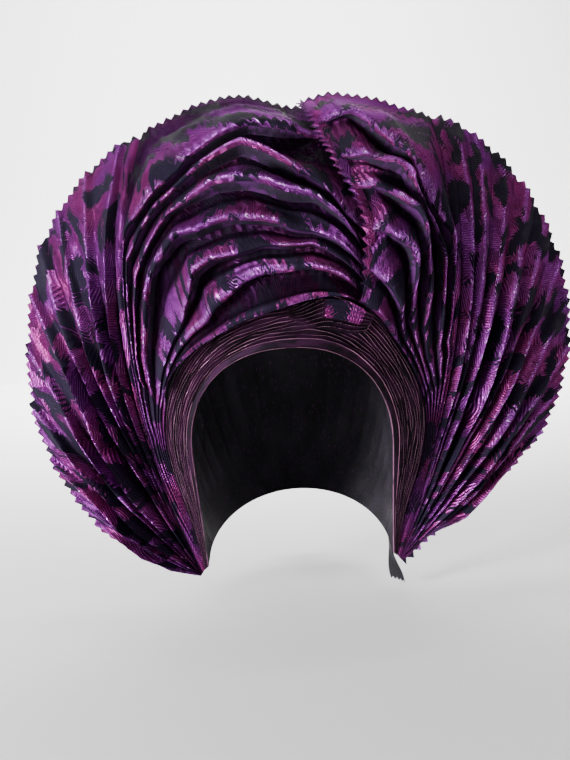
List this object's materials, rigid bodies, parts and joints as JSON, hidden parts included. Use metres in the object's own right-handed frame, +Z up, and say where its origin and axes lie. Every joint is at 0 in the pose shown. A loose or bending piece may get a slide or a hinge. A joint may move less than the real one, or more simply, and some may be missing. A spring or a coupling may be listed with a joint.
{
  "type": "tied gele head tie",
  "caption": "Tied gele head tie of stiff purple and black metallic brocade, pleated round the face and spread into a wide fan above.",
  "frame": {"origin": "crown seat: the point on the inside of the cap that rests on top of the wearer's head", "axes": "+Z up, the face opening towards -Y, +X towards the side on the right when seen from the front"},
  "size_m": [0.3814, 0.1957, 0.3528],
  "materials": {
    "purple_brocade": "metallic purple and black brocade with a fine rib",
    "dark_brocade": "dark purple side of the brocade, pressed into fine pleats",
    "black_lining_cloth": "matt black back of the cloth"
  },
  "bodies": {
    "root": {"head_cap": "black_lining_cloth", "pleat_band": "dark_brocade", "left_fan": "purple_brocade", "right_fan": "purple_brocade", "crown_swag": "purple_brocade", "right_swag": "purple_brocade", "tuck_pleats": "purple_brocade", "nape_tie": "black_lining_cloth", "nape_knot": "black_lining_cloth", "tie_tail": "black_lining_cloth"}
  },
  "joints": []
}
